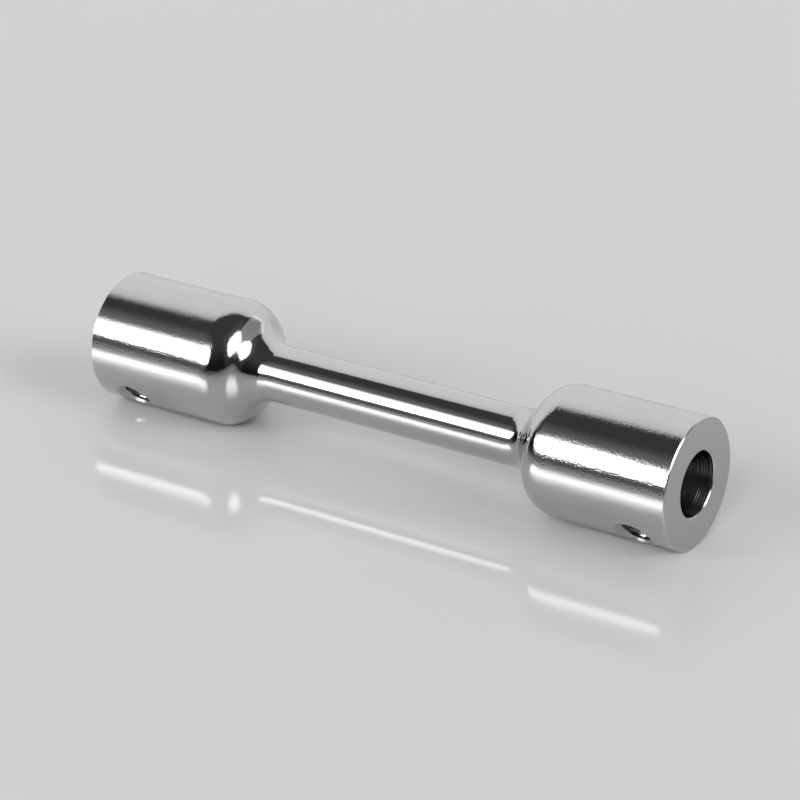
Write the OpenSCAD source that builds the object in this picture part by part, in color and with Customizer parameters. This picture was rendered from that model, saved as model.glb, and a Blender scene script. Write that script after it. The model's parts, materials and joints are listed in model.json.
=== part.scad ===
// Rigid connecting shaft for a universal-joint drive line.
// One turned piece: two round hubs on a slim centre shaft, each hub with a blind
// bore in its end and one cup-point set screw in a tapped cross hole.
// The shaft axis is X, the middle of the shaft is the origin and +Z is up.

/* [Hubs] */
// Diameter of each end hub
hub_d = 16; // [15:0.5:18]
// Length of the straight side of each hub, from its end face
hub_l = 16.7; // [16:0.1:20]
// Length along the shaft of each of the two equal arcs that join hub to centre shaft
blend_l = 3.5; // [3.4:0.1:5]
// Width of the edge break on the rim of each end face
rim_break = 0.12; // [0.1:0.01:0.5]

/* [Centre shaft] */
// Diameter of the slim shaft between the hubs
shaft_d = 7.25; // [5:0.25:9]
// Length over both end faces
overall_l = 82; // [70:1:200]

/* [Bores] */
// Diameter of the blind bore in each hub
bore_d = 8; // [6:0.5:9]
// Depth of the full-diameter bore
bore_depth = 14; // [10:0.5:14.5]
// Width of the edge break at each bore mouth
bore_break = 0.1; // [0.06:0.01:0.4]
// Included angle of the drill point at the bottom of each bore
drill_angle = 118; // [90:1:140]

/* [Set screws] */
// Distance from an end face to the centre of its set screw
screw_inset = 5; // [4:0.25:8]
// Angle below the horizontal at which both screws face, on the -Y side
screw_tilt = 43; // [0:1:90]
// Thread diameter of the set screws
screw_d = 4; // [3:0.5:4]
// Length of each set screw
screw_l = 3; // [2.5:0.1:3]
// Depth of a screw's outer face below the hub surface
screw_recess = 0.9; // [0.4:0.1:0.9]
// Diameter of the countersink round each screw hole
sink_d = 5; // [4.4:0.1:5.6]
// Width across the flats of the hexagon socket
socket_af = 2; // [1.5:0.1:2]
// Depth of the hexagon socket
socket_depth = 1.4; // [1:0.1:1.6]
// Diameter of the cup in the screw's tip
cup_d = 2; // [1.4:0.1:2.2]

/* [Hidden] */
$fn = 96;

// Radial clearance given to the hole and taken off the screw
thread_gap = 0.03;
// Width of the 45-degree chamfer on both ends of a screw
screw_chamfer = 0.4;
// Included angle of the cup in a screw's tip
cup_angle = 118;
// Extra length of a cut past the surface that it breaks through
overcut = 0.5;

hub_r = hub_d / 2;
shaft_r = shaft_d / 2;
bore_r = bore_d / 2;
half_l = overall_l / 2;
screw_x = half_l - screw_inset;
hole_r = screw_d / 2 + thread_gap;
screw_r = screw_d / 2 - thread_gap;
sink_r = sink_d / 2;
cup_r = cup_d / 2;

// The two arcs are tangent where they meet, and each takes half of the step in radius
arc_rise = (hub_r - shaft_r) / 2;
arc_r = (blend_l * blend_l + arc_rise * arc_rise) / (2 * arc_rise);
hub_start = half_l - hub_l;
mid_blend = hub_start - blend_l;
shaft_end = mid_blend - blend_l;

// Section of the right half: radius along X, distance from the middle along Y
module half_section() {
    // centre shaft, running on into the hub
    square([shaft_r, hub_start + blend_l]);
    // hollow fillet at the end of the centre shaft
    difference() {
        translate([0, shaft_end]) square([shaft_r + arc_rise, blend_l]);
        translate([shaft_r + arc_r, shaft_end]) circle(r = arc_r);
    }
    // rounded shoulder of the hub
    intersection() {
        translate([0, mid_blend]) square([hub_r, blend_l]);
        translate([hub_r - arc_r, hub_start]) circle(r = arc_r);
    }
    // straight side of the hub, with its rim broken
    polygon([
        [0, hub_start],
        [hub_r, hub_start],
        [hub_r, half_l - rim_break],
        [hub_r - rim_break, half_l],
        [0, half_l]
    ]);
}

// Turned outside of the whole piece, along X
module turned_blank() {
    rotate([0, 90, 0]) rotate_extrude() {
        half_section();
        mirror([0, 1]) half_section();
    }
}

// Cut for the bore in the right-hand hub: mouth chamfer, reamed wall, drill point
module bore_cut() {
    drill_tip = bore_r / tan(drill_angle / 2);
    translate([half_l, 0, 0]) rotate([0, -90, 0]) {
        translate([0, 0, -overcut]) cylinder(r = bore_r, h = bore_depth + overcut);
        translate([0, 0, bore_depth]) cylinder(r1 = bore_r, r2 = 0, h = drill_tip);
        translate([0, 0, -overcut])
            cylinder(r1 = bore_r + bore_break + overcut, r2 = bore_r, h = bore_break + overcut);
    }
}

// Places a child that is drawn along +Z, from the shaft axis out to the hub
// surface, at the right-hand hub's screw position
module at_screw() {
    translate([screw_x, 0, 0]) rotate([90 + screw_tilt, 0, 0]) children();
}

// Cut for a tapped hole, from the shaft axis through one side of the hub
module screw_hole_cut() {
    sink_depth = sink_r - hole_r;
    cylinder(r = hole_r, h = hub_r + overcut);
    translate([0, 0, hub_r - sink_depth])
        cylinder(r1 = hole_r, r2 = sink_r + overcut, h = sink_depth + overcut);
}

module shaft_body() {
    color("silver") difference() {
        turned_blank();
        for (side = [0, 1]) mirror([side, 0, 0]) {
            bore_cut();
            at_screw() screw_hole_cut();
        }
    }
}

// One set screw along +Z: chamfered barrel, hexagon socket outside, cup at the tip
module set_screw() {
    face_z = hub_r - screw_recess;
    tip_z = face_z - screw_l;
    end_r = screw_r - screw_chamfer;
    cup_depth = cup_r / tan(cup_angle / 2);
    difference() {
        union() {
            translate([0, 0, tip_z]) cylinder(r1 = end_r, r2 = screw_r, h = screw_chamfer);
            translate([0, 0, tip_z + screw_chamfer])
                cylinder(r = screw_r, h = screw_l - 2 * screw_chamfer);
            translate([0, 0, face_z - screw_chamfer])
                cylinder(r1 = screw_r, r2 = end_r, h = screw_chamfer);
        }
        translate([0, 0, face_z - socket_depth])
            cylinder(d = socket_af / cos(30), h = socket_depth + overcut, $fn = 6);
        translate([0, 0, tip_z - overcut])
            cylinder(r1 = cup_r * (1 + overcut / cup_depth), r2 = 0, h = cup_depth + overcut);
    }
}

module right_set_screw() {
    color("dimgray") at_screw() set_screw();
}

module left_set_screw() {
    color("dimgray") mirror([1, 0, 0]) at_screw() set_screw();
}

shaft_body();
left_set_screw();
right_set_screw();
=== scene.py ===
# %% [markdown]
# Universal joint shaft: one bar of bright-plated steel with a bored hub at each end, and
# two grub screws. The CAD model is loaded first and stays fixed: every size and place below
# is worked out from it, so nothing needs fitting afterwards.

# %% Load the frame
import json
import math

import bmesh
import bpy
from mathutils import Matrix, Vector


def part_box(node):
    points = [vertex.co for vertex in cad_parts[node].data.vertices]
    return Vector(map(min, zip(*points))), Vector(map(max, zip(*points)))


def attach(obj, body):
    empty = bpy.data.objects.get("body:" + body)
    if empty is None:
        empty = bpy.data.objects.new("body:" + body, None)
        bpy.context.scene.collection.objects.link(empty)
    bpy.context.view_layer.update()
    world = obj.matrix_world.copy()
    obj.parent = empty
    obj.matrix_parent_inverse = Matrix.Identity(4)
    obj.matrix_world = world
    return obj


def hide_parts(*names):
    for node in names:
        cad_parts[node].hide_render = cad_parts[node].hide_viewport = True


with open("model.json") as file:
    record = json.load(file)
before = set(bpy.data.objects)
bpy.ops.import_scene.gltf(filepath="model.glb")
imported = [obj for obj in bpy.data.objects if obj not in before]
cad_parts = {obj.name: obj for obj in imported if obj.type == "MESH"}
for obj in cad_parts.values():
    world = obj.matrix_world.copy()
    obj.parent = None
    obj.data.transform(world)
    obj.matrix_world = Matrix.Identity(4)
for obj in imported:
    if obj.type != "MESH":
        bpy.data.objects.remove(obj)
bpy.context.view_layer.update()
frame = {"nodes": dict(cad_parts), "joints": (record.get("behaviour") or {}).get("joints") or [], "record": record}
scene = bpy.context.scene
shaft_low, shaft_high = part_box("shaft_body")
half_length = (shaft_high.x - shaft_low.x) / 2
hub_radius = (shaft_high.y - shaft_low.y) / 2
print(f"shaft {half_length * 2000:.1f} mm long, hubs {hub_radius * 2000:.1f} mm across")


# %% [markdown]
# A small helper for shader trees. A node is made, its constants are set, and its inputs are
# linked in one call, which keeps each material short enough to read from top to bottom.

# %% Node helper
def add_node(tree, kind, settings=None, inputs=None):
    """Makes a node, sets its properties, and sets or links its inputs by name or number."""
    node = tree.nodes.new(kind)
    for name, value in (settings or {}).items():
        setattr(node, name, value)
    for name, value in (inputs or {}).items():
        socket = node.inputs[name]
        if isinstance(value, bpy.types.NodeSocket):
            tree.links.new(value, socket)
        else:
            socket.default_value = value
    return node


def math_node(tree, operation, *values, clamp=False):
    """A Math node's result from numbers or sockets."""
    node = add_node(tree, "ShaderNodeMath", {"operation": operation, "use_clamp": clamp},
                    dict(enumerate(values)))
    return node.outputs[0]


def smooth_step(tree, value, low, high, out_low=0.0, out_high=1.0):
    """value eased from out_low at low to out_high at high."""
    node = add_node(tree, "ShaderNodeMapRange", {"interpolation_type": "SMOOTHSTEP"},
                    {"Value": value, "From Min": low, "From Max": high,
                     "To Min": out_low, "To Max": out_high})
    return node.outputs["Result"]


# %% [markdown]
# Polished metal has no look of its own: it shows the room. The studio is therefore the main
# part of the finish. It has a bright sweep of paper behind the table, a dark half room on the
# camera's side, a softbox that leans over the front left and a second one on the right. All
# of it is placed by direction, so one small function turns an azimuth and an elevation, which
# are easy to think in, into a vector.

# %% The studio's directions
def direction(azimuth, elevation):
    """Unit vector to a point in the studio. Azimuth 0 is -Y and 90 is +X, in degrees."""
    a, e = math.radians(azimuth), math.radians(elevation)
    return Vector((math.sin(a) * math.cos(e), -math.cos(a) * math.cos(e), math.sin(e)))


# %% [markdown]
# Walls and screens that stand far from the table can be painted straight on the World. An
# image of a studio would do it too, but a node group that masks one soft-edged rectangle of
# the sky is easier to move about. It flattens the direction onto a plane in front of the
# rectangle's centre and measures how far outside the rectangle each point falls.

# %% Patch-of-light node group
def light_patch_group():
    """A lit rectangle with soft edges, seen from far away: 1 inside it, 0 outside."""
    group = bpy.data.node_groups.new("light_patch", "ShaderNodeTree")
    new = group.interface.new_socket
    for name in ("Direction", "Centre", "Right", "Up"):
        new(name=name, in_out="INPUT", socket_type="NodeSocketVector")
    for name in ("Half Width", "Half Height", "Edge"):
        new(name=name, in_out="INPUT", socket_type="NodeSocketFloat")
    new(name="Mask", in_out="OUTPUT", socket_type="NodeSocketFloat")
    start = group.nodes.new("NodeGroupInput").outputs
    end = group.nodes.new("NodeGroupOutput")

    def dot(axis):
        node = add_node(group, "ShaderNodeVectorMath", {"operation": "DOT_PRODUCT"},
                        {0: start["Direction"], 1: start[axis]})
        return node.outputs["Value"]

    ahead = math_node(group, "MAXIMUM", dot("Centre"), 0.001)
    beyond = []
    for axis, limit in (("Right", "Half Width"), ("Up", "Half Height")):
        offset = math_node(group, "ABSOLUTE", math_node(group, "DIVIDE", dot(axis), ahead))
        past = math_node(group, "MAXIMUM", math_node(group, "SUBTRACT", offset, start[limit]), 0.0)
        beyond.append(math_node(group, "POWER", past, 2.0))
    outside = math_node(group, "SQRT", math_node(group, "ADD", *beyond))
    group.links.new(smooth_step(group, outside, start["Edge"], 0.0), end.inputs["Mask"])
    return group


light_patch = light_patch_group()
print("light patch:", len(light_patch.nodes), "nodes")


# %% [markdown]
# The studio is then a short table: each row is one wall, sheet or spill of light over a dark
# room. The glow that matte things get is kept apart from what gloss sees, because studio
# lamps fill white paper evenly, yet a mirror-like bar shows each lamp's hard shape.

# %% The room and its fill
ROOM = [
    # what it is, azimuth, elevation, half width, half height, soft edge, strength
    ("sweep", -146.6, 0.0, 2.10, 2.36, 0.35, 0.64),
    ("sweep_middle", -146.6, 33.0, 1.60, 0.30, 0.55, 0.28),
    ("grey_wall", 122.0, 8.0, 0.50, 0.50, 0.12, 0.33),
    ("left_spill", -33.0, 24.0, 0.20, 0.20, 0.45, 0.17),
    ("right_spill", 88.0, 30.0, 0.30, 0.30, 0.45, 0.05),
]
# strength of the unlit room below and above, and the heights between which it changes
DARK_LOW, DARK_HIGH = 0.012, 0.060
DARK_RISE = (0.1, 0.8)
# light that reaches matte surfaces only: from all round, and from and between the two lamps
ROOM_FILL = 0.10
LAMP_FILL = 5.5
LAMPS = ((-34.0, 23.0), (88.0, 30.0), (20.0, 30.0))
# half width, half height and soft edge of each of those fills
FILL_SIZE = (0.25, 0.2, 0.1)
CAMERA_BACKGROUND = 0.66
print("room:", len(ROOM), "patches and", len(LAMPS), "fills")


# %% [markdown]
# The World's shader adds up the patches, and the Light Path node splits the light. The fills
# count for diffuse rays only, and the camera gets an even backdrop behind the floor's far
# edge. Everything else is what the metal sees.

# %% World shader
def studio_world():
    world = bpy.data.worlds.new("studio")
    world.use_nodes = True
    tree = world.node_tree
    tree.nodes.clear()
    toward = add_node(tree, "ShaderNodeTexCoord").outputs["Generated"]
    height = add_node(tree, "ShaderNodeSeparateXYZ", inputs={0: toward}).outputs["Z"]
    light = smooth_step(tree, height, *DARK_RISE, DARK_LOW, DARK_HIGH)

    def patch(azimuth, elevation, width, tall, edge, strength):
        centre = direction(azimuth, elevation)
        right = direction(azimuth + 90, 0)
        group = add_node(tree, "ShaderNodeGroup", {"node_tree": light_patch},
                         {"Direction": toward, "Centre": centre, "Right": right,
                          "Up": centre.cross(right), "Half Width": width,
                          "Half Height": tall, "Edge": edge})
        return math_node(tree, "MULTIPLY", group.outputs["Mask"], strength)

    for row in ROOM:
        light = math_node(tree, "ADD", light, patch(*row[1:]))
    path = add_node(tree, "ShaderNodeLightPath").outputs
    fill = ROOM_FILL
    for azimuth, elevation in LAMPS:
        fill = math_node(tree, "ADD", fill, patch(azimuth, elevation, *FILL_SIZE, LAMP_FILL))
    fill = math_node(tree, "MULTIPLY", path["Is Diffuse Ray"], fill)
    lit = add_node(tree, "ShaderNodeBackground",
                   inputs={"Strength": math_node(tree, "ADD", light, fill)})
    plain = add_node(tree, "ShaderNodeBackground", inputs={"Strength": CAMERA_BACKGROUND})
    for item in (lit, plain):
        item.inputs["Color"].default_value = (1, 1, 1, 1)
    mix = add_node(tree, "ShaderNodeMixShader",
                   inputs={0: path["Is Camera Ray"], 1: lit.outputs[0], 2: plain.outputs[0]})
    add_node(tree, "ShaderNodeOutputWorld", inputs={"Surface": mix.outputs[0]})
    scene.world = world


studio_world()
scene.view_settings.view_transform = "Standard"
print("world:", len(scene.world.node_tree.nodes), "nodes")


# %% [markdown]
# The two softboxes stand close to the part, so their bands shift from one hub to the other.
# A patch on the World can't do that, because it is infinitely far away, so these two are area
# lamps. A real softbox is brightest over its bulb and fades towards its rim. The lamp's own
# shader draws that fade, which gives the highlights on the bar a soft end instead of a cut.

# %% Softbox lamps
def softbox(name, centre, lean, turn, half_width, half_height, even, brightness):
    """An area lamp that is brightest in the middle and fades to its rim, for gloss only."""
    lamp = bpy.data.lights.new(name, "AREA")
    lamp.shape = "RECTANGLE"
    lamp.size = 2 * half_width
    lamp.size_y = 2 * half_height
    # power that grows with the area keeps the brightness of the panel free of its size
    lamp.energy = math.pi * lamp.size * lamp.size_y
    lamp.use_nodes = True
    tree = lamp.node_tree
    across = add_node(tree, "ShaderNodeNewGeometry").outputs["Parametric"]
    parts = add_node(tree, "ShaderNodeSeparateXYZ", inputs={0: across}).outputs

    def past_middle(value, even_share):
        """Square of the distance past the evenly bright middle of the lamp, 1 at its rim."""
        offset = math_node(tree, "ABSOLUTE", math_node(tree, "SUBTRACT", value, 0.5))
        share = add_node(tree, "ShaderNodeMapRange", inputs={
            "Value": offset, "From Min": even_share / 2, "From Max": 0.5})
        return math_node(tree, "POWER", share.outputs["Result"], 2.0)

    rim = math_node(tree, "SQRT", math_node(tree, "ADD", past_middle(parts["X"], even),
                                            past_middle(parts["Y"], 0.0)))
    mask = smooth_step(tree, rim, 1.0, 0.0)
    tree.links.new(math_node(tree, "MULTIPLY", mask, brightness),
                   tree.nodes["Emission"].inputs["Strength"])
    lamp_object = bpy.data.objects.new(name, lamp)
    lamp_object.location = centre
    lamp_object.rotation_euler = (math.radians(lean), 0, math.radians(turn))
    lamp_object.visible_diffuse = False
    scene.collection.objects.link(lamp_object)
    print(name, f"{lamp.size * 1000:.0f} x {lamp.size_y * 1000:.0f} mm")


SOFTBOXES = [
    # name, centre, lean, turn, half width, half height, even share of the width, brightness;
    # lean 0 faces straight down, and 90 faces the part from the side
    ("left_softbox", (-0.124, -0.187, 0.073), 18.0, 0.0, 0.108, 0.0955, 0.75, 11.0),
    ("right_softbox", (0.215, -0.020, 0.125), 60.0, 90.0, 0.100, 0.10, 0.3, 11.0),
]
for row in SOFTBOXES:
    softbox(*row)


# %% [markdown]
# The part lies on a sheet of white gloss. A Principled BSDF with a low roughness gives the
# faint mirror image under the part. Two copies of it are mixed: the metal sees the full gloss,
# and the camera sees less of it, as if a polarising filter were turned in front of the lens
# until the glare on the table fades.

# %% Floor
FLOOR_REACH = 4.0
FLOOR_TONE = (0.571, 0.571, 0.571, 1)
# roughness and index of refraction, as the metal sees the sheet and as the camera does
FLOOR_IN_METAL = (0.09, 1.42)
FLOOR_DIRECT = (0.04, 1.2)


def make_floor():
    corners = [(x * FLOOR_REACH, y * FLOOR_REACH, shaft_low.z)
               for x, y in ((-1, -1), (1, -1), (1, 1), (-1, 1))]
    mesh = bpy.data.meshes.new("floor")
    mesh.from_pydata(corners, [], [(0, 1, 2, 3)])
    floor = bpy.data.objects.new("floor", mesh)
    scene.collection.objects.link(floor)
    material = bpy.data.materials.new("floor_gloss")
    material.use_nodes = True
    tree = material.node_tree
    tree.nodes.clear()
    in_metal, direct = (add_node(tree, "ShaderNodeBsdfPrincipled", inputs={
        "Base Color": FLOOR_TONE, "Roughness": roughness, "IOR": index})
        for roughness, index in (FLOOR_IN_METAL, FLOOR_DIRECT))
    path = add_node(tree, "ShaderNodeLightPath").outputs
    mix = add_node(tree, "ShaderNodeMixShader", inputs={
        0: path["Is Camera Ray"], 1: in_metal.outputs[0], 2: direct.outputs[0]})
    add_node(tree, "ShaderNodeOutputMaterial", inputs={"Surface": mix.outputs[0]})
    mesh.materials.append(material)
    print(f"floor at {shaft_low.z * 1000:.1f} mm, where the hubs rest")


make_floor()


# %% [markdown]
# A small part is shot with a long lens from a little way off, which keeps its two hubs nearly
# the same size. The camera is placed by direction and distance from the middle of the part and
# looks back along that line. Two small offsets slide it sideways, so that the part sits in the
# frame without turning the view.

# %% Camera
CAMERA_AZIMUTH = 33.42
CAMERA_ELEVATION = 23.68
CAMERA_DISTANCE = 0.3858
CAMERA_LENS = 143.5
AIM_RIGHT = 0.00016
AIM_UP = 0.0006


def place_camera():
    data = bpy.data.cameras.new("camera")
    data.lens = CAMERA_LENS
    data.clip_start = 0.01
    data.clip_end = 20
    camera = bpy.data.objects.new("camera", data)
    scene.collection.objects.link(camera)
    back = direction(CAMERA_AZIMUTH, CAMERA_ELEVATION)
    right = direction(CAMERA_AZIMUTH + 90, 0)
    up = back.cross(right)
    camera.rotation_mode = "QUATERNION"
    camera.rotation_quaternion = (-back).to_track_quat("-Z", "Y")
    camera.location = back * CAMERA_DISTANCE + right * AIM_RIGHT + up * AIM_UP
    scene.camera = camera
    print("camera at", [round(value, 3) for value in camera.location])


place_camera()


# %% [markdown]
# Two surface effects are shared by the plated body and the screws, so each is a node group
# that is built once. The first is the trace of the cutting tool: very fine rings round the
# axis of the part, from one-dimensional noise along that axis. A wave texture would also draw
# rings, but even ones, and a real tool never cuts two alike. The second is the grain that
# plating leaves on a polished surface, which gives a highlight its slightly broken edge.

# %% Turning-line node group
def turning_lines_group():
    """Rings round an axis, as a height from 0 to 1. Axis Place is the distance along the axis."""
    group = bpy.data.node_groups.new("turning_lines", "ShaderNodeTree")
    new = group.interface.new_socket
    new(name="Axis Place", in_out="INPUT", socket_type="NodeSocketFloat")
    new(name="Lines Per Metre", in_out="INPUT", socket_type="NodeSocketFloat")
    new(name="Height", in_out="OUTPUT", socket_type="NodeSocketFloat")
    start = group.nodes.new("NodeGroupInput").outputs
    end = group.nodes.new("NodeGroupOutput")
    place = math_node(group, "MULTIPLY", start["Axis Place"], start["Lines Per Metre"])
    fine = add_node(group, "ShaderNodeTexNoise", {"noise_dimensions": "1D"},
                    {"W": place, "Scale": 1.0, "Detail": 3.0, "Roughness": 0.6})
    group.links.new(fine.outputs[0], end.inputs["Height"])
    return group


turning_lines = turning_lines_group()
print("turning lines:", len(turning_lines.nodes), "nodes")


# %% [markdown]
# The grain is fine noise that only tilts the surface. The film is a much larger, cloudy noise:
# the faint change in polish that wiping and handling leave. Both come from one group, so that
# every steel part of the object carries the same two effects in its own sizes.

# %% Plating-grain node group
# values of the cloudy noise between which the film sets in
FILM_RISE = (0.42, 0.68)


def plating_grain_group():
    """Grain and faint handling marks over a surface. Both outputs run from 0 to 1."""
    group = bpy.data.node_groups.new("plating_grain", "ShaderNodeTree")
    new = group.interface.new_socket
    new(name="Place", in_out="INPUT", socket_type="NodeSocketVector")
    new(name="Grain Scale", in_out="INPUT", socket_type="NodeSocketFloat")
    new(name="Film Scale", in_out="INPUT", socket_type="NodeSocketFloat")
    new(name="Grain", in_out="OUTPUT", socket_type="NodeSocketFloat")
    new(name="Film", in_out="OUTPUT", socket_type="NodeSocketFloat")
    start = group.nodes.new("NodeGroupInput").outputs
    end = group.nodes.new("NodeGroupOutput")
    grain = add_node(group, "ShaderNodeTexNoise", {},
                     {"Vector": start["Place"], "Scale": start["Grain Scale"],
                      "Detail": 1.0, "Roughness": 0.4})
    film = add_node(group, "ShaderNodeTexNoise", {},
                    {"Vector": start["Place"], "Scale": start["Film Scale"],
                     "Detail": 4.0, "Roughness": 0.6, "Distortion": 0.6})
    group.links.new(grain.outputs[0], end.inputs["Grain"])
    group.links.new(smooth_step(group, film.outputs[0], *FILM_RISE), end.inputs["Film"])
    return group


plating_grain = plating_grain_group()
print("plating grain:", len(plating_grain.nodes), "nodes")


# %% [markdown]
# The body is bright plating over ground steel. A metal's colour is its reflectance, and this
# one returns a little over half of the light, so white panels come back as a mid grey-white
# and dark ones as near black. Four zones differ, and masks made from the distance along the
# axis and the distance from it tell them apart. The hubs are polished over a turned surface
# and keep the grain. The slim centre is ground smooth. The end faces show rings round the
# bore from the facing cut. The bore is only reamed, so its rings are deep enough to smear a
# lamp into a long streak along the axis.

# %% Zones of the body
BORE_RADIUS = frame["record"]["mounts"][0]["dims"]["r_mm"] / 1000
# distances back from an end face, each from where a mask starts to where it is full: over
# the rounded shoulder of a hub, at the end face itself, and in the mouth of a bore
SHOULDER = (0.0205, 0.0168)
FACE = (0.00004, 0.00001)
MOUTH = (0.0002, 0.0004)
# distances outside the wall of a bore, for the same
WALL = (0.00025, 0.00005)
print(f"bores {BORE_RADIUS * 2000:.1f} mm across")


def body_zones(tree):
    """Place on the body, and masks from 0 to 1 for its hubs, end faces and bores."""
    place = add_node(tree, "ShaderNodeTexCoord").outputs["Object"]
    parts = add_node(tree, "ShaderNodeSeparateXYZ", inputs={0: place}).outputs
    squares = [math_node(tree, "POWER", parts[name], 2.0) for name in ("Y", "Z")]
    radius = math_node(tree, "SQRT", math_node(tree, "ADD", *squares))
    from_middle = math_node(tree, "ABSOLUTE", parts["X"])

    def back_from_end(start, full):
        return smooth_step(tree, from_middle, half_length - start, half_length - full)

    on_hub, on_face, deep_in = (back_from_end(*zone) for zone in (SHOULDER, FACE, MOUTH))
    near_wall = smooth_step(tree, radius, *(BORE_RADIUS + out for out in WALL))
    in_bore = math_node(tree, "MULTIPLY", math_node(tree, "MULTIPLY", on_hub, deep_in), near_wall)
    return {"place": place, "along": parts["X"], "radius": radius,
            "on_hub": on_hub, "on_face": on_face, "in_bore": in_bore}


# %% [markdown]
# The relief is three Bump nodes in a row: the grain, the turned lines and the reamed rings.
# Each takes the normal of the one before. The heights are hundredths of a millimetre or less,
# far too small to model, but enough to break up a mirror image. The rings of the end faces
# come from the same group as the turned lines, with the distance from the axis added in, so
# that they run round the bore.

# %% Relief of the plating
HUB_GRAIN, CENTRE_GRAIN = 1.0, 0.22
# heights in metres, and tool lines to the metre
GRAIN_HEIGHT = 0.000014
TURNED_HEIGHT, TURNED_LINES = 0.0000012, 9000.0
REAMED_HEIGHT, REAMED_LINES = 0.00005, 9000.0
print(f"relief: grain {GRAIN_HEIGHT * 1e6:.0f}, turned lines {TURNED_HEIGHT * 1e6:.1f} "
      f"and reamed rings {REAMED_HEIGHT * 1e6:.0f} micrometres")


def bump_node(tree, height, distance, below=None):
    """The normal of a height map, laid over the normal below it."""
    bump = add_node(tree, "ShaderNodeBump",
                    inputs={"Height": height, "Distance": distance, "Strength": 1.0})
    if below:
        tree.links.new(below, bump.inputs["Normal"])
    return bump.outputs[0]


def body_relief(tree, zones, grain):
    """The body's normal: grain on the hubs, turned lines all over, rings in the bores."""
    along = math_node(tree, "ADD", zones["along"],
                      math_node(tree, "MULTIPLY", zones["radius"], zones["on_face"]))
    turned = add_node(tree, "ShaderNodeGroup", {"node_tree": turning_lines},
                      {"Axis Place": along, "Lines Per Metre": TURNED_LINES})
    reamed = add_node(tree, "ShaderNodeGroup", {"node_tree": turning_lines},
                      {"Axis Place": zones["along"], "Lines Per Metre": REAMED_LINES})
    polished = math_node(tree, "SUBTRACT", zones["on_hub"], zones["on_face"])
    grain_share = smooth_step(tree, polished, 0.0, 1.0, CENTRE_GRAIN, HUB_GRAIN)
    rings = math_node(tree, "MULTIPLY", reamed.outputs["Height"], zones["in_bore"])
    normal = bump_node(tree, math_node(tree, "MULTIPLY", grain, grain_share), GRAIN_HEIGHT)
    normal = bump_node(tree, turned.outputs["Height"], TURNED_HEIGHT, normal)
    return bump_node(tree, rings, REAMED_HEIGHT, normal)


# %% [markdown]
# Now the shader itself. The tone starts as bright plating, which the film dulls a little. The
# end faces get a darker tone, which is painted shade, and the bores a darker one again, painted
# shade in the holes; a bore's rings and extra roughness are its reamed finish. The film also
# sets the roughness, so a wiped patch is both darker and softer, as it is on real plating.

# %% Plated steel
# reflectance of the polished sides and of the film on them, then the painted shade of an end
# face and of a bore
BRIGHT, DULLED, END_FACE_SHADE, BORE_SHADE = 0.555, 0.535, 0.45, 0.29
# roughness without the film and with it, and what a bore adds to it
POLISH_FINE, POLISH_COARSE, BORE_EXTRA = 0.035, 0.075, 0.04
GRAIN_SCALE, FILM_SCALE = 5000.0, 95.0


def grey(value):
    return (value, value, value, 1)


def colour_mix(tree, share, first, second):
    """first where share is 0 and second where it is 1, each a colour or a socket."""
    node = add_node(tree, "ShaderNodeMix", {"data_type": "RGBA"}, {"Factor": share})
    for socket, value in ((node.inputs["A"], first), (node.inputs["B"], second)):
        if isinstance(value, bpy.types.NodeSocket):
            tree.links.new(value, socket)
        else:
            socket.default_value = value
    return node.outputs["Result"]


def plated_steel():
    material = bpy.data.materials.new("polished_plate")
    material.use_nodes = True
    tree = material.node_tree
    shader = tree.nodes["Principled BSDF"]
    zones = body_zones(tree)
    grain = add_node(tree, "ShaderNodeGroup", {"node_tree": plating_grain},
                     {"Place": zones["place"], "Grain Scale": GRAIN_SCALE,
                      "Film Scale": FILM_SCALE})
    tree.links.new(body_relief(tree, zones, grain.outputs["Grain"]), shader.inputs["Normal"])

    polish = smooth_step(tree, grain.outputs["Film"], 0.0, 1.0, POLISH_FINE, POLISH_COARSE)
    extra = math_node(tree, "MULTIPLY", zones["in_bore"], BORE_EXTRA)
    tree.links.new(math_node(tree, "ADD", polish, extra), shader.inputs["Roughness"])
    tone = colour_mix(tree, grain.outputs["Film"], grey(BRIGHT), grey(DULLED))
    # painted shade: the end faces are set darker than the polished sides
    tone = colour_mix(tree, zones["on_face"], tone, grey(END_FACE_SHADE))
    # painted shade: the bores are darker again, as shade in the holes; their rings and extra roughness are the
    # reamed finish
    tone = colour_mix(tree, zones["in_bore"], tone, grey(BORE_SHADE))
    tree.links.new(tone, shader.inputs["Base Color"])
    shader.inputs["Metallic"].default_value = 1
    return material


plate = plated_steel()
body = frame["nodes"]["shaft_body"]
body.data.materials.clear()
body.data.materials.append(plate)
print("plating:", len(plate.node_tree.nodes), "nodes")


# %% [markdown]
# The grub screws are cut from bar, hardened and lightly oiled, so they are darker than the
# plating and a little rougher. The same two groups are used with finer and deeper lines, and
# the crests of the thread are given a brighter tone than the roots.

# %% Screw steel
HARDENED = (0.20, 0.195, 0.19, 1)
CREST_TONE = (0.42, 0.42, 0.42, 1)
# distances inside the crests of the thread, from where the brighter crest tone starts to where it is full
CREST_TONE_DEPTH = (0.00012, 0.00002)
OILED_FINE, OILED_COARSE = 0.20, 0.38
SCREW_GRAIN_SCALE, SCREW_FILM_SCALE, SCREW_LINES = 9000.0, 600.0, 16000.0
SCREW_GRAIN_HEIGHT, SCREW_LINE_HEIGHT = 0.000008, 0.000004


def about_axis(tree, place, axis_from, axis_along):
    """How far each place lies along an axis and from it."""
    offset = add_node(tree, "ShaderNodeVectorMath", {"operation": "SUBTRACT"},
                      {0: place, 1: axis_from}).outputs[0]
    along = add_node(tree, "ShaderNodeVectorMath", {"operation": "DOT_PRODUCT"},
                     {0: offset, 1: axis_along}).outputs["Value"]
    across = add_node(tree, "ShaderNodeVectorMath", {"operation": "CROSS_PRODUCT"},
                      {0: offset, 1: axis_along}).outputs[0]
    radius = add_node(tree, "ShaderNodeVectorMath", {"operation": "LENGTH"},
                      {0: across}).outputs["Value"]
    return along, radius


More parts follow.
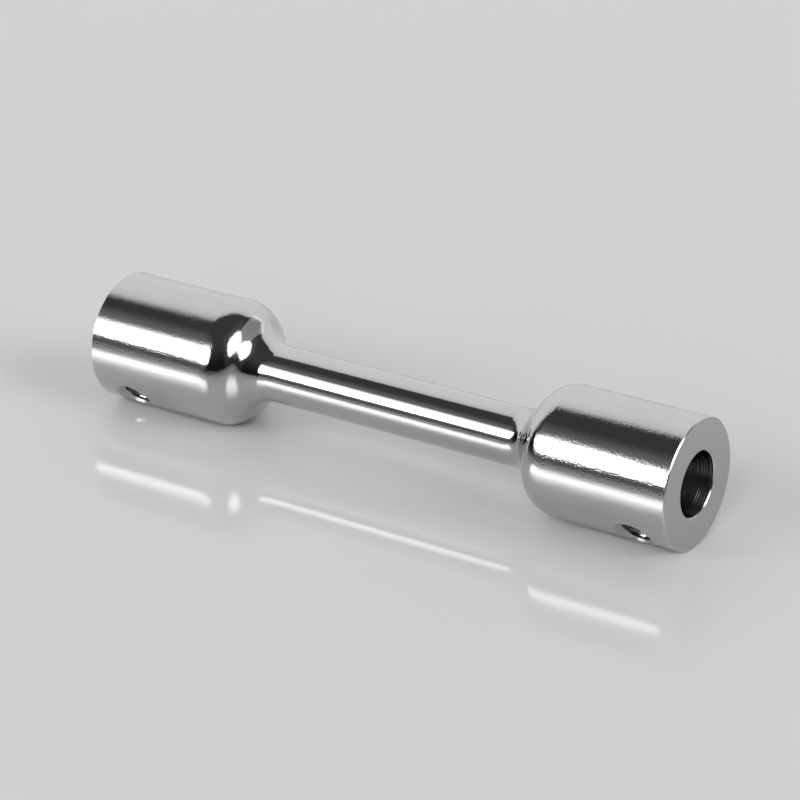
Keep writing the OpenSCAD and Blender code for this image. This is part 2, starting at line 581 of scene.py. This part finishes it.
def screw_steel(axis_from, axis_along, crest_radius):
    """Steel for one screw, whose axis runs through a point in a direction."""
    material = bpy.data.materials.new("screw_steel")
    material.use_nodes = True
    tree = material.node_tree
    shader = tree.nodes["Principled BSDF"]
    place = add_node(tree, "ShaderNodeTexCoord").outputs["Object"]
    along, radius = about_axis(tree, place, axis_from, axis_along)
    grain = add_node(tree, "ShaderNodeGroup", {"node_tree": plating_grain},
                     {"Place": place, "Grain Scale": SCREW_GRAIN_SCALE,
                      "Film Scale": SCREW_FILM_SCALE})
    lines = add_node(tree, "ShaderNodeGroup", {"node_tree": turning_lines},
                     {"Axis Place": along, "Lines Per Metre": SCREW_LINES})
    normal = bump_node(tree, grain.outputs["Grain"], SCREW_GRAIN_HEIGHT)
    normal = bump_node(tree, lines.outputs["Height"], SCREW_LINE_HEIGHT, normal)
    tree.links.new(normal, shader.inputs["Normal"])
    polish = smooth_step(tree, grain.outputs["Film"], 0.0, 1.0, OILED_FINE, OILED_COARSE)
    tree.links.new(polish, shader.inputs["Roughness"])
    # the crests of the thread get a brighter tone than the roots
    crest_share = smooth_step(tree, radius, *(crest_radius - depth for depth in CREST_TONE_DEPTH))
    tree.links.new(colour_mix(tree, crest_share, HARDENED, CREST_TONE), shader.inputs["Base Color"])
    shader.inputs["Metallic"].default_value = 1
    return material


# %% [markdown]
# The threads are real helices, because a screw drawn with rings reads as a stack of washers.
# One turn of the cross-section is swept round the axis and climbs by the pitch. Points that
# would pass the end of the metal are held at the end plane and under the chamfer cone, so
# the thread runs out of the chamfer as a cut one does. Screw and hole share one helix, half
# a pitch apart, so they mesh at rest and at every whole turn.

# %% Thread sizes
PITCH = 0.0007
# width of the flat at a root of the screw's thread, which a crest of the hole's thread fills
ROOT = PITCH / 4
# how much a side of the thread leans, for 60 degrees between two sides
LEAN = math.tan(math.radians(30))
SCREW_DEPTH = 0.00039
HOLE_DEPTH = 0.00040
SEGMENTS = 96


def screw_frame(side):
    """A screw's seat: a point on the shaft's axis, the hole's axis and two directions across."""
    joint = next(j for j in frame["joints"] if j["child"] == f"{side}_screw")
    axis = Vector(joint["axis"]).normalized()
    low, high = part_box(f"{side}_set_screw")
    centre = (low + high) / 2
    origin = Vector((centre.x, 0, 0))
    along_x = Vector((1, 0, 0))
    return origin, axis, along_x, axis.cross(along_x)


def screw_sizes(side):
    """Radius of a screw and the heights of its tip and face, measured on its CAD node."""
    origin, axis, along_x = screw_frame(side)[:3]
    node = frame["nodes"][f"{side}_set_screw"]
    heights = [(v.co - origin).dot(axis) for v in node.data.vertices]
    radii = [abs((v.co - origin).dot(along_x)) for v in node.data.vertices]
    return max(radii), min(heights), max(heights)


screw_radius, screw_tip, screw_face = screw_sizes("right")
print(f"screw {screw_radius * 2000:.2f} mm across, its tip {screw_tip * 1000:.2f} mm and its face "
      f"{screw_face * 1000:.2f} mm from the shaft's axis")


# %% [markdown]
# Screws and threads are all made of rings of points round a hole's axis, so two functions are
# enough. One joins rings into a mesh in the place of the hole, and welds the points that
# trimming has brought together. The other lays out the rows of a helix, one pitch at a time.

# %% Mesh from rings
# points closer than this become one, and an edge sharper than this is shaded as an edge
WELD = 2e-7
SHARP = math.radians(35.0)


def ring_mesh(name, strips, seat):
    """Joins rings of (angle, radius, height) points into surfaces round a hole's axis.

    Each strip is (rings, closed), and strips that share points are welded together.
    """
    origin, axis, along_x, across = seat
    mesh = bmesh.new()
    for rings, closed in strips:
        rows = [[mesh.verts.new(origin + axis * h + along_x * (r * math.cos(t))
                                + across * (r * math.sin(t))) for t, r, h in ring]
                for ring in rings]
        count = len(rows[0])
        for lower, upper in zip(rows, rows[1:]):
            for i in range(count if closed else count - 1):
                j = (i + 1) % count
                mesh.faces.new((lower[i], lower[j], upper[j], upper[i]))
    bmesh.ops.remove_doubles(mesh, verts=mesh.verts, dist=WELD)
    bmesh.ops.dissolve_degenerate(mesh, edges=mesh.edges, dist=WELD)
    loose = [v for v in mesh.verts if not v.link_faces]
    bmesh.ops.delete(mesh, geom=loose, context="VERTS")
    bmesh.ops.recalc_face_normals(mesh, faces=mesh.faces)
    data = bpy.data.meshes.new(name)
    mesh.to_mesh(data)
    mesh.free()
    data.shade_smooth()
    data.set_sharp_from_angle(angle=SHARP)
    piece = bpy.data.objects.new(name, data)
    scene.collection.objects.link(piece)
    return piece


def helix_rows(profile, low, high, place):
    """Rows of a thread. profile is (height, radius) over one pitch; place() trims a point."""
    turns = range(math.floor((low - PITCH) / PITCH) - 1, math.ceil(high / PITCH) + 1)
    rows = []
    for turn in turns:
        for rise, radius in profile:
            row = []
            for i in range(SEGMENTS + 1):
                angle = 2 * math.pi * i / SEGMENTS
                height = PITCH * (turn + i / SEGMENTS) + rise
                row.append((angle, *place(angle, radius, height)))
            rows.append(row)
    return rows


# %% [markdown]
# A cup-point grub screw has three worked parts: the thread with a chamfer at both ends, a
# hexagon socket whose mouth is countersunk, which leaves the small scallops at its corners,
# and a hollow cup in the tip that bites into the shaft it clamps.

# %% Grub screws
CHAMFER = 0.0004
# the socket: middle to flat, radius of the countersunk mouth, depth of the flats, radius of
# the drilled floor and depth of its point
SOCKET_FLAT = 0.001
SOCKET_MOUTH = 0.0012
SOCKET_DEPTH = 0.0014
SOCKET_FLOOR = 0.00085
SOCKET_POINT = 0.00025
# the cup: its radius and depth, and how far its rounded lip reaches out, in and up
CUP_RADIUS = 0.001
CUP_DEPTH = 0.0006
LIP_OUT, LIP_IN, LIP_UP = 0.00006, 0.00003, 0.00005


def circle(radius, height):
    return [(2 * math.pi * i / SEGMENTS, radius, height) for i in range(SEGMENTS)]


def hexagon(drop):
    """A hexagon of points, dropped by drop(radius) below the screw's face."""
    points = []
    for i in range(SEGMENTS):
        angle = 2 * math.pi * i / SEGMENTS
        from_flat = (angle + math.pi / 6) % (math.pi / 3) - math.pi / 6
        radius = SOCKET_FLAT / math.cos(from_flat)
        points.append((angle, radius, screw_face - drop(radius)))
    return points


def make_screw(side):
    seat = screw_frame(side)
    end_radius = screw_radius - CHAMFER
    root_radius = screw_radius - SCREW_DEPTH
    flank = ROOT / 2 + SCREW_DEPTH * LEAN
    profile = [(ROOT / 2, root_radius), (flank, screw_radius),
               (PITCH - flank, screw_radius), (PITCH - ROOT / 2, root_radius)]

    def trim(angle, radius, height):
        height = min(max(height, screw_tip), screw_face)
        cone = end_radius + min(height - screw_tip, screw_face - height)
        return min(radius, cone), height

    floor_height = screw_face - SOCKET_DEPTH
    socket = [circle(end_radius, screw_face), circle(SOCKET_MOUTH, screw_face),
              hexagon(lambda r: SOCKET_MOUTH - r), hexagon(lambda r: SOCKET_DEPTH),
              circle(SOCKET_FLOOR, floor_height), circle(0.0, floor_height - SOCKET_POINT)]
    cup = [circle(end_radius, screw_tip), circle(CUP_RADIUS + LIP_OUT, screw_tip),
           circle(CUP_RADIUS - LIP_IN, screw_tip + LIP_UP), circle(0.0, screw_tip + CUP_DEPTH)]
    strips = [(helix_rows(profile, screw_tip, screw_face, trim), False),
              (socket, True), (cup, True)]
    screw = ring_mesh(f"{side}_grub_screw", strips, seat)
    screw.data.materials.append(screw_steel(seat[0], seat[1], screw_radius))
    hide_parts(f"{side}_set_screw")
    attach(screw, f"{side}_screw")
    print(screw.name, len(screw.data.polygons), "faces")


for side in ("left", "right"):
    make_screw(side)


# %% [markdown]
# The tapped hole gets the matching thread. The tap has cut a groove all the way through, so
# the ridge that is left ends where the wall of the bore cuts it off inside, and the
# countersink cuts it back outside. The ridge() function gives its radius at any cut, which
# keeps those two ends true to the helix instead of closing the groove.

# %% Tapped holes
CLEARANCE = 0.00006
HOLE_RADIUS = screw_radius + CLEARANCE
SINK_RADIUS = 0.0025
# the foot of the ridge is sunk this far under the wall of the hole, so that no gap shows
UNDER_WALL = 0.00003
# the ridge ends this far outside the bore, and the helix is laid out from this height, which
# is inside the bore all round
BORE_MARGIN = 0.00002
INSIDE_BORE = 0.003


def make_hole_thread(side):
    seat = screw_frame(side)
    crest_radius = HOLE_RADIUS - HOLE_DEPTH
    base_radius = HOLE_RADIUS + UNDER_WALL
    flank = ROOT / 2 + (base_radius - crest_radius) * LEAN
    profile = [(-flank, base_radius), (-ROOT / 2, crest_radius),
               (ROOT / 2, crest_radius), (flank, base_radius)]
    sink_start = hub_radius - (SINK_RADIUS - HOLE_RADIUS)

    def ridge(angle, height):
        """Radius of the thread where a plane cuts it."""
        turn = height / PITCH - angle / (2 * math.pi)
        beside = abs(turn - round(turn)) * PITCH
        share = min(max((beside - ROOT / 2) / (flank - ROOT / 2), 0.0), 1.0)
        return crest_radius + share * (base_radius - crest_radius)

    def bore_wall(angle):
        return math.sqrt(BORE_RADIUS ** 2 - (crest_radius * math.sin(angle)) ** 2) + BORE_MARGIN

    def trim(angle, radius, height):
        kept = min(max(height, bore_wall(angle)), sink_start)
        if kept != height:
            radius = ridge(angle, kept)
        return max(radius, HOLE_RADIUS - (sink_start - kept)), kept

    rows = helix_rows(profile, INSIDE_BORE, sink_start, trim)
    inner_end = [(angle, base_radius, bore_wall(angle)) for angle, _, _ in rows[0]]
    thread = ring_mesh(f"{side}_hole_thread", [([inner_end] + rows, False)], seat)
    thread.data.materials.append(plate)
    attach(thread, "shaft")
    print(thread.name, len(thread.data.polygons), "faces")


for side in ("left", "right"):
    make_hole_thread(side)
